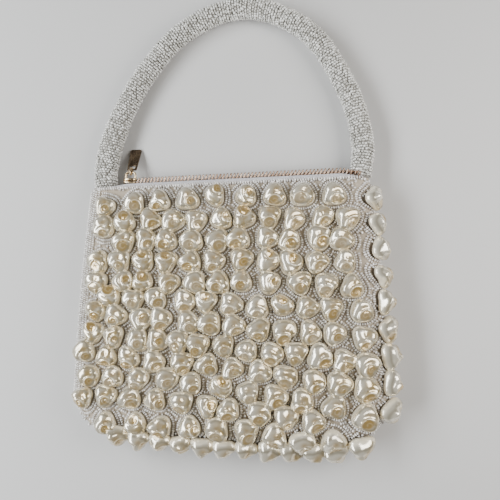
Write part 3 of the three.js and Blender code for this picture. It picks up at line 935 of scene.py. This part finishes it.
def through(stations, samples):
    """A smooth centripetal curve through the stations, with the station number at each sample."""
    before = 2 * stations[0] - stations[1]
    after = 2 * stations[-1] - stations[-2]
    points = np.concatenate([[before], stations, [after]])
    at = np.linspace(0, len(stations) - 1, samples)
    found = np.empty((samples, 3))
    for i in range(len(stations) - 1):
        p0, p1, p2, p3 = points[i:i + 4]
        d0, d1, d2 = (math.sqrt(np.linalg.norm(b - a)) for a, b in ((p0, p1), (p1, p2), (p2, p3)))
        t1 = d1 * ((p1 - p0) / d0 - (p2 - p0) / (d0 + d1) + (p2 - p1) / d1)
        t2 = d1 * ((p2 - p1) / d1 - (p3 - p1) / (d1 + d2) + (p3 - p2) / d2)
        here = (at >= i) & (at <= i + 1)
        u = (at[here] - i)[:, None]
        c2 = -3 * p1 + 3 * p2 - 2 * t1 - t2
        c3 = 2 * p1 - 2 * p2 + t1 + t2
        found[here] = p1 + t1 * u + c2 * u**2 + c3 * u**3
    return found, at


def handle_line(curve_steps=4000, even_steps=900):
    """The handle's centre, directions and half section at even steps along it."""
    line, at = through(HANDLE[:, :3], curve_steps)
    length = run_length(line)
    even = np.linspace(0, length[-1], even_steps)
    centre = read_off(even, length, line)
    size = read_off(np.interp(even, length, at), np.arange(len(HANDLE)), HANDLE[:, 3:])
    tangent = np.gradient(centre, axis=0)
    tangent[0] = (0, 1, 0)
    tangent[-1] = (0, -1, 0)
    tangent = unit(tangent)
    side = unit(np.cross(tangent, UPWARD))
    return even, centre, tangent, side, np.cross(side, tangent), size / 2


EVEN, LINE, TANGENT, SIDE, UP, HALF = handle_line()
LENGTH = EVEN[-1]


def round_handle(distance, angle, inset):
    """Points by distance along the handle, angle round it and depth inside its skin."""
    half_size = read_off(distance, EVEN, HALF)
    wide = (half_size[:, :1] - inset) * np.cos(angle)[:, None]
    deep = (half_size[:, 1:] - inset) * np.sin(angle)[:, None]
    side = unit(read_off(distance, EVEN, SIDE))
    up = unit(read_off(distance, EVEN, UP))
    points = read_off(distance, EVEN, LINE) + wide * side + deep * up
    return points, unit(read_off(distance, EVEN, TANGENT))


def handle_core(sides=32, stations=180, inset=1.8):
    along = np.linspace(0, LENGTH, stations)
    rings = [round_handle(np.full(sides, at), -circle(sides), inset)[0] for at in along]
    faces = grid_faces(len(rings), sides) + end_faces(len(rings), sides)
    core = piece("handle_core", np.concatenate(rings), faces, CORE_CLOTH)
    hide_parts("handle")


def handle_beads(
    around=23, first=1.0, end=0.9, step=1.9, radius=1.0, varies=0.08, drift_from=0.7, drift=0.012,
    wander=0.2, sway=0.035, depth=1.05, uneven=0.2, least=0.7, most=1.5,
    lump=0.2, short_wave=0.21, long_wave=0.083, swing=2,
):
    """Rows of beads round the handle, each half a bead on from the last, uneven and lumpy."""
    rows = np.arange(first, LENGTH - end, step)
    angles = []
    for number, row in enumerate(rows):
        past = max(0.0, row - drift_from * LENGTH)
        beads_on = np.arange(around) + 0.5 * (number % 2)
        angles.append(FULL_TURN * beads_on / around + drift * past)
    distance = np.repeat(rows, around)
    count = len(distance)
    distance = np.clip(distance + wander * rng.standard_normal(count), end, LENGTH - end)
    angle = np.concatenate(angles) + sway * rng.standard_normal(count)
    ripple = lump * np.sin(short_wave * distance + swing * np.sin(angle))
    inset = depth + ripple * np.sin(long_wave * distance + angle) + uneven * rng.standard_normal(count)
    centre, tangent = round_handle(distance, angle, np.clip(inset, least, most)[:, None])
    radii = bead_radii(radius, varies, count)
    centre[:, 2] = np.maximum(centre[:, 2], radii)
    form = bead_form(segments=7, rings=4, squat=0.8)
    beads("handle_beads", centre, tangent, radii, HANDLE_SEED, form)


handle_core()
handle_beads()


# Zip, in millimetres

RIDGE_Y = 171.2
ZIP_Z = 9.725

# The back tape's ends, and Y and Z of both tapes' path from behind the mouth's edge to the chain
TAPE = (-79.7, 83.2)
TAPE_PATH = np.array([(161.6, 16.7), (166.6, 17.1), (167.4, 18.2), (171.2, 12.6)])
TAPE_THICKNESS = 0.5

# Where the zip's two ends start to turn down, and over what length they do
SUNK_LEFT = -73.0
SUNK_RIGHT = 79.0
SUNK_REACH = 13.0


def sunk_end(x):
    """How far, from 0 to 1, the zip has turned down on to the front's edge at X."""
    right = np.clip((x - SUNK_RIGHT) / SUNK_REACH, 0, 1)
    return right + np.clip((SUNK_LEFT - x) / SUNK_REACH, 0, 1)


def zip_tape(
    name, side, node, steps=22, long_steps=600, down=4.0, up=6.6, rib=0.1, slant=0.8, pitch=1.3, share=0.7,
):
    """A ribbed tape from behind the mouth's edge to the chain."""
    across = run_length(TAPE_PATH)
    v = np.linspace(0, across[-1], steps)
    y, z = read_off(v, across, TAPE_PATH).T
    ends = (SUNK_LEFT - SUNK_REACH, SUNK_RIGHT + SUNK_REACH) if side > 0 else TAPE
    x = np.linspace(*ends, long_steps)
    grid_x, grid_v = np.meshgrid(x, v)
    edge, chain = across[2:]
    over = np.clip((grid_v - edge) / (chain - edge), 0, 1) * sunk_end(grid_x) * (side > 0)
    fold = np.abs(grid_v - lerp(edge, chain, 0.5))
    wave = np.sin(FULL_TURN * (grid_x + slant * fold) / pitch)
    ribs = share * (rib * wave * (grid_v > edge))
    points = np.stack([
        grid_x,
        y[:, None] + ribs - down * over,
        z[:, None] + ribs + up * over,
    ], -1).reshape(-1, 3)
    points[:, 2] = ZIP_Z + side * (points[:, 2] - ZIP_Z)
    faces = grid_faces(len(v), len(x), closed=False)
    if side < 0:
        faces = [face[::-1] for face in faces]
    tape = piece(name, points, faces, TAPE_CLOTH)
    thicken(tape, TAPE_THICKNESS)
    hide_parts(node)


zip_tape("tape_front", 1, "zip_tape_front")
zip_tape("tape_back", -1, "zip_tape_back")


def stitches(first=2, last=1, step=2.3, y=167.55, z=18.35, size=(0.95, 0.28, 0.28)):
    """A run of thread along the lower edge of the front tape."""
    shape, triangles = bead_form(segments=8, rings=6, squat=1.0)
    x = np.arange(TAPE[0] + first, TAPE[1] - last, step)
    centre = columns(x, np.full(len(x), y), np.full(len(x), z))
    points = centre[:, None] + shape[:, [2, 0, 1]] * np.array(size)
    faces = repeated(triangles, len(x), len(shape))
    thread = piece("tape_stitches", points.reshape(-1, 3), faces, THREAD)


stitches()


def rounded_box(size, bevel, segments=2):
    work = bmesh.new()
    bmesh.ops.create_cube(work, size=1)
    bmesh.ops.scale(work, vec=size, verts=work.verts)
    round_edges(work, work.edges[:], bevel, segments)
    return shape_of(work)


def turned(points, angle):
    """Points turned about the X axis."""
    y = points[:, 1] * math.cos(angle) - points[:, 2] * math.sin(angle)
    z = points[:, 1] * math.sin(angle) + points[:, 2] * math.cos(angle)
    return columns(points[:, 0], y, z)


def zip_teeth(
    size=(1.2, 4.6, 1.9), bevel=0.45, lean=0.32, first=-64.6, last=91.5, pitch=2.5,
    out=1.9, aside=1.15, back_length=0.5, sunk_turn=0.9, sunk_down=4.4, sunk_up=10.4,
):
    """Two rows of slanted teeth, each half a pitch from the other, that meet along the ridge."""
    shape, shape_faces = rounded_box(size, bevel)
    slanted = columns(shape[:, 0] + lean * shape[:, 1], shape[:, 1], shape[:, 2])
    shapes = []
    for side, shift, length in ((1, 0.0, 1), (-1, pitch / 2, back_length)):
        tooth = slanted * [1, length, side] + [0, 0, side * aside]
        for x in np.arange(first + shift, last, pitch):
            sunk = float(sunk_end(x))
            middle = [x, RIDGE_Y + out - sunk_down * sunk, ZIP_Z + sunk_up * sunk]
            shapes.append((turned(tooth, sunk_turn * sunk) + middle, shape_faces))
    row = piece("zip_teeth", *joined(shapes), TEETH_METAL)
    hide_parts("zip_chain")


zip_teeth()

# The pull, built level about its hinge: X across, Y away from the hinge
PULL_X = -70.6
PULL_OUT = 8.8
PULL_DROOP = 26.0


def metal_piece(name, shapes, material, body, node):
    thing = piece(name, *joined(shapes), material, body)
    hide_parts(node)


def plate(outline, low, high, bevel=0.35, segments=3):
    """A flat plate over an outline of points in X and Y, with rounded edges."""
    work = bmesh.new()
    work.faces.new([work.verts.new((x, y, low)) for x, y in outline])
    raise_faces(work, high - low)
    level = [edge for edge in work.edges if abs(edge.verts[0].co.z - edge.verts[1].co.z) < 1e-6]
    round_edges(work, level, bevel, segments)
    return shape_of(work)


def squared(wave, power):
    """A sine or cosine wave with fuller corners."""
    return np.sign(wave) * np.abs(wave) ** power


def bridge_path(
    left=-74.4, left_bend=-72.3, right_bend=-69.3, right=-67.2,
    foot=3.5, straight=5.2, bend=2.1, bend_out=6.7, steps=8,
):
    """The bridge's wire from foot to foot: X, and how far out from the ridge."""
    turn = np.linspace(math.pi, QUARTER, steps)
    aside = bend * np.cos(turn)
    out = bend_out + bend * np.sin(turn)
    rising = columns(left_bend + aside, out)
    falling = columns(right_bend - aside, out)[::-1]
    return np.concatenate([
        [[left, foot], [left, straight]], rising, falling, [[right, straight], [right, foot]],
    ])


def slider(
    x=-71, long=5.0, wide=3.7, long_power=0.7, wide_power=0.8, steps=40, plates=((0.5, 1.5), (2.4, 3.9)),
    post=(3.2, 2.4, 3.4), post_bevel=0.4, post_x=-73.6, post_out=2.0, wire=0.8, wire_sides=14,
):
    """Two plates, by how far out from the ridge they lie, a post between them and a bent wire bridge."""
    turn = circle(steps)
    plan = columns(x + long * squared(np.cos(turn), long_power), wide * squared(np.sin(turn), wide_power))
    shapes = []
    for low, high in plates:
        points, faces = plate(plan, low, high)
        shapes.append((columns(points[:, 0], RIDGE_Y + points[:, 2], ZIP_Z - points[:, 1]), faces))
    points, faces = rounded_box(post, post_bevel)
    shapes.append((points + [post_x, RIDGE_Y + post_out, ZIP_Z], faces))
    along, out = bridge_path().T
    shapes.append(tube(columns(along, RIDGE_Y + out, np.full(len(out), ZIP_Z)), wire, wire_sides))
    metal_piece("slider", shapes, PULL_METAL, "root", "zip_slider")


def about_hinge(points):
    """Points of the level pull, brought to its place and its droop."""
    return turned(points, -math.radians(PULL_DROOP)) + [PULL_X, RIDGE_Y + PULL_OUT, ZIP_Z]


def pull_ring(middle=1.0, long=2.95, high=1.8, wire=0.6, steps=36, sides=12):
    turn = circle(steps)
    path = columns(np.zeros(steps), middle + long * np.cos(turn), high * np.sin(turn))
    points, faces = tube(path, wire, sides, closed=True)
    metal_piece("ring", [(about_hinge(points), faces)], PULL_METAL, "zip_pull", "pull_link")


def pull_tab(
    shift=0.3, neck=3.6, half_wide=4.3, thick=1.0, corner=1.6, corner_y=19.4, steps=7,
    foot_y=1.75, chamfer=0.5, side_y=2.3, slot=2.2, slot_first=2.95, slot_last=5.6,
    bevel=0.2, segments=2, sharp=1.0,
):
    """A slotted tab with a round-cornered blade, in one plate."""
    corner_x = half_wide - corner
    bend = [(corner * math.cos(a), corner * math.sin(a)) for a in np.linspace(0, QUARTER, steps)]
    outer = [(chamfer - neck, foot_y), (neck - chamfer, foot_y), (neck, side_y)]
    outer += [(corner_x + x, corner_y + y) for x, y in bend]
    outer += [(-corner_x - y, corner_y + x) for x, y in bend]
    outer += [(-neck, side_y)]
    inner = [(-slot, slot_first), (slot, slot_first), (slot, slot_last), (-slot, slot_last)]
    work = bmesh.new()
    edges = []
    for loop in (outer, inner):
        verts = [work.verts.new((x + shift, y, -thick / 2)) for x, y in loop]
        edges += [work.edges.new((a, b)) for a, b in zip(verts, verts[1:] + verts[:1])]
    bmesh.ops.triangle_fill(work, use_beauty=True, use_dissolve=True, edges=edges)
    raise_faces(work, thick)
    rims = [edge for edge in work.edges if len(edge.link_faces) == 2 and edge.calc_face_angle(0) > sharp]
    round_edges(work, rims, bevel, segments)
    points, faces = shape_of(work)
    metal_piece("tab", [(about_hinge(points), faces)], SHADED_TAB_METAL, "zip_pull", "pull_tab")


slider()
pull_ring()
pull_tab()


# Floor, light and camera

FLOOR_HALF = 1.4

# Lamps: name, place and aim in millimetres, width and height in metres, power, colour
LAMPS = [
    ("window", (-500, 100, 510), (0, 100, 10), (1.0, 0.26), 10.4, (0.93, 0.97, 1.0)),
    ("second", (430, 150, 320), (70, 120, 10), (0.32, 0.32), 2.7, (1.0, 0.99, 0.97)),
]


def set_up(thing, axes, place):
    """Put a lamp or camera at a place, with its own X, Y and Z along the given directions."""
    rows = [(*row, shift) for row, shift in zip(np.column_stack(axes), place)]
    thing.matrix_world = Matrix(rows + [(0, 0, 0, 1)])
    link(thing)


def floor():
    mesh = bpy.data.meshes.new("floor")
    corners = [(FLOOR_HALF * x, FLOOR_HALF * y, 0) for x, y in ((-1, -1), (1, -1), (1, 1), (-1, 1))]
    mesh.from_pydata(corners, [], [(0, 1, 2, 3)])
    mesh.materials.append(finish("floor", (0.62, 0.61, 0.60), 0.85)[0])
    ground = bpy.data.objects.new("floor", mesh)
    link(ground)


def lamp(name, place, aim, size, power, colour):
    data = bpy.data.lights.new(name, "AREA")
    data.shape = "RECTANGLE"
    data.size = size[0]
    data.size_y = size[1]
    data.energy = power
    data.color = colour
    spot, target = placed([place, aim])
    back = unit(spot - target)
    side = unit(np.cross(UPWARD, back))
    set_up(bpy.data.objects.new(name, data), [side, np.cross(back, side), back], spot)


def soft_room():
    """Dim light from all round, darker and warmer overhead."""
    world = bpy.data.worlds.new("soft_room")
    world.use_nodes = True
    bpy.context.scene.world = world
    tree = world.node_tree
    place = add(tree, "ShaderNodeTexCoord", "Generated")
    height = ranged(tree, add(tree, "ShaderNodeSeparateXYZ", "Z", Vector=place), low=0.25, high=0.95)
    room = mixed(tree, height, (0.22, 0.21, 0.19), (0.105, 0.094, 0.074))
    feed(tree, tree.nodes["Background"], Color=room)


def camera(
    azimuth=65.0, elevation=79.5, roll=66.1, eye=(74.9, 94.0, 361.0),
    sensor=36.0, focal_pixels=520, picture_pixels=500, near=0.01, far=20,
):
    """The photo's view: angles in degrees, the eye's place in millimetres, near and far in metres."""
    azimuth, elevation, roll = (math.radians(angle) for angle in (azimuth, elevation, roll))
    level = math.cos(elevation)
    back = np.array([math.sin(azimuth) * level, -math.cos(azimuth) * level, math.sin(elevation)])
    right = unit(np.cross(-back, UPWARD))
    down = np.cross(-back, right)
    across = math.cos(roll) * right + math.sin(roll) * down
    low = -math.sin(roll) * right + math.cos(roll) * down
    data = bpy.data.cameras.new("camera")
    data.sensor_width = sensor
    data.lens = sensor * focal_pixels / picture_pixels
    data.clip_start = near
    data.clip_end = far
    viewer = bpy.data.objects.new("camera", data)
    set_up(viewer, [across, -low, back], placed([eye])[0])
    bpy.context.scene.camera = viewer


floor()
for settings in LAMPS:
    lamp(*settings)
soft_room()
camera()

bpy.context.view_layer.update()
